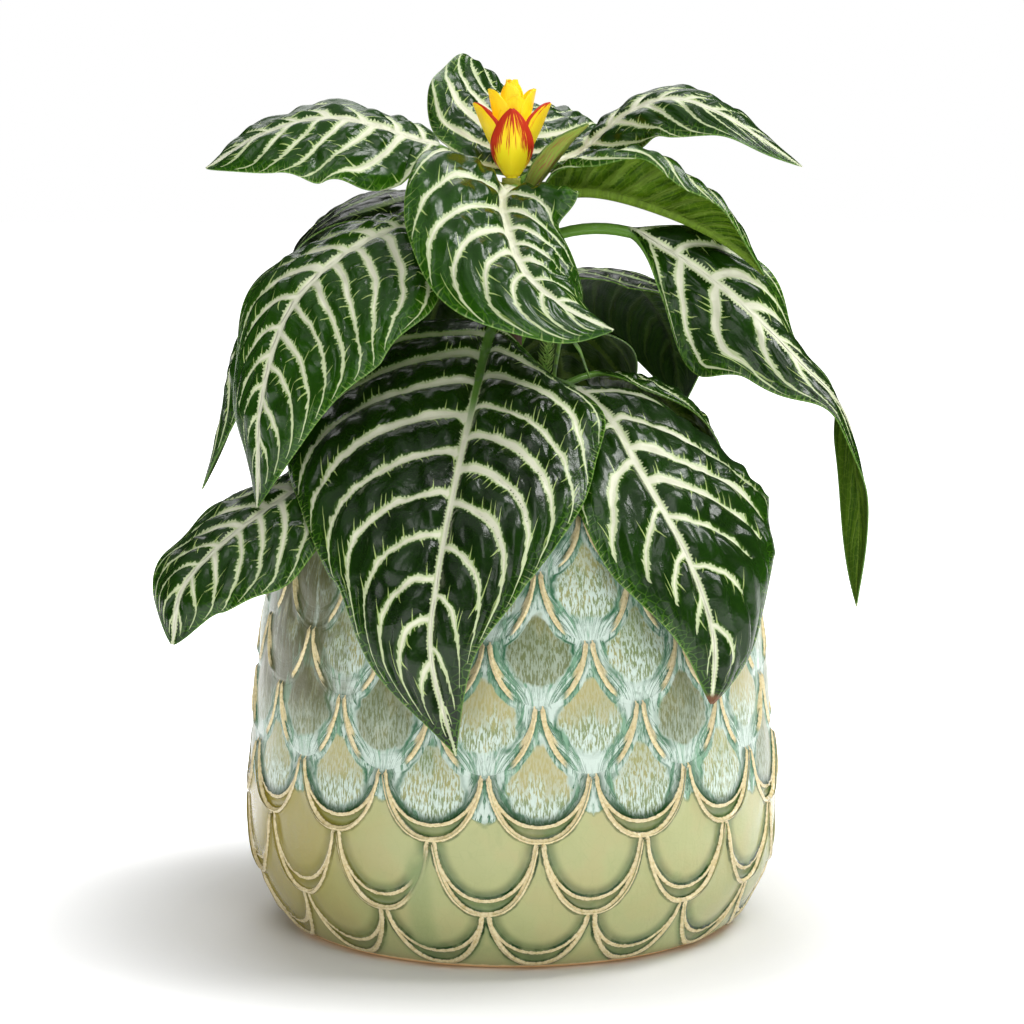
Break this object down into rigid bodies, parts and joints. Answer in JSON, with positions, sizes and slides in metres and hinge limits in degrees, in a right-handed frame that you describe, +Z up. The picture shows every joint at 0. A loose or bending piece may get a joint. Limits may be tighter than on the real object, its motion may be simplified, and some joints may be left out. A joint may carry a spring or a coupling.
{
  "type": "potted zebra plant",
  "caption": "Bushy potted plant with large arching white-veined leaves and a small yellow flower head, in a round stoneware pot with raised scales.",
  "frame": {"origin": "centre of the pot's flat base, on the surface it stands on", "axes": "+Z up along the stem; -Y is the front, towards the camera of the picture; +X is the right of that view"},
  "size_m": [0.2499, 0.2183, 0.3115],
  "materials": {
    "glazed_stoneware": "glossy reactive glaze over raised scales, opaque",
    "potting_soil": "loose dark soil",
    "woody_stem": "dark reddish bark, satin",
    "zebra_leaf": "glossy dark green with ivory veins",
    "flower_bract": "waxy yellow with red brush marks",
    "green_bract": "satin green flushed red-brown",
    "weed_green": "soft satin green"
  },
  "bodies": {
    "root": {"pot": "glazed_stoneware", "soil": "potting_soil", "stem": "woody_stem", "leaf_back_left": "zebra_leaf", "leaf_back_middle": "zebra_leaf", "leaf_back_right": "zebra_leaf", "leaf_crown_front": "zebra_leaf", "leaf_crown_right": "zebra_leaf", "leaf_front_large": "zebra_leaf", "leaf_left_back": "zebra_leaf", "leaf_left_front": "zebra_leaf", "leaf_left_hanging": "zebra_leaf", "leaf_low_back": "zebra_leaf", "leaf_low_back_left": "zebra_leaf", "leaf_low_left": "zebra_leaf", "leaf_low_right": "zebra_leaf", "leaf_low_right_back": "zebra_leaf", "leaf_right_curtain": "zebra_leaf", "leaf_top_back": "zebra_leaf", "leaf_top_left": "zebra_leaf", "leaf_top_right": "zebra_leaf", "leafy_bract": "green_bract", "flower_head": "flower_bract", "weed_sprig": "weed_green", "weed_seedling": "weed_green"}
  },
  "joints": []
}
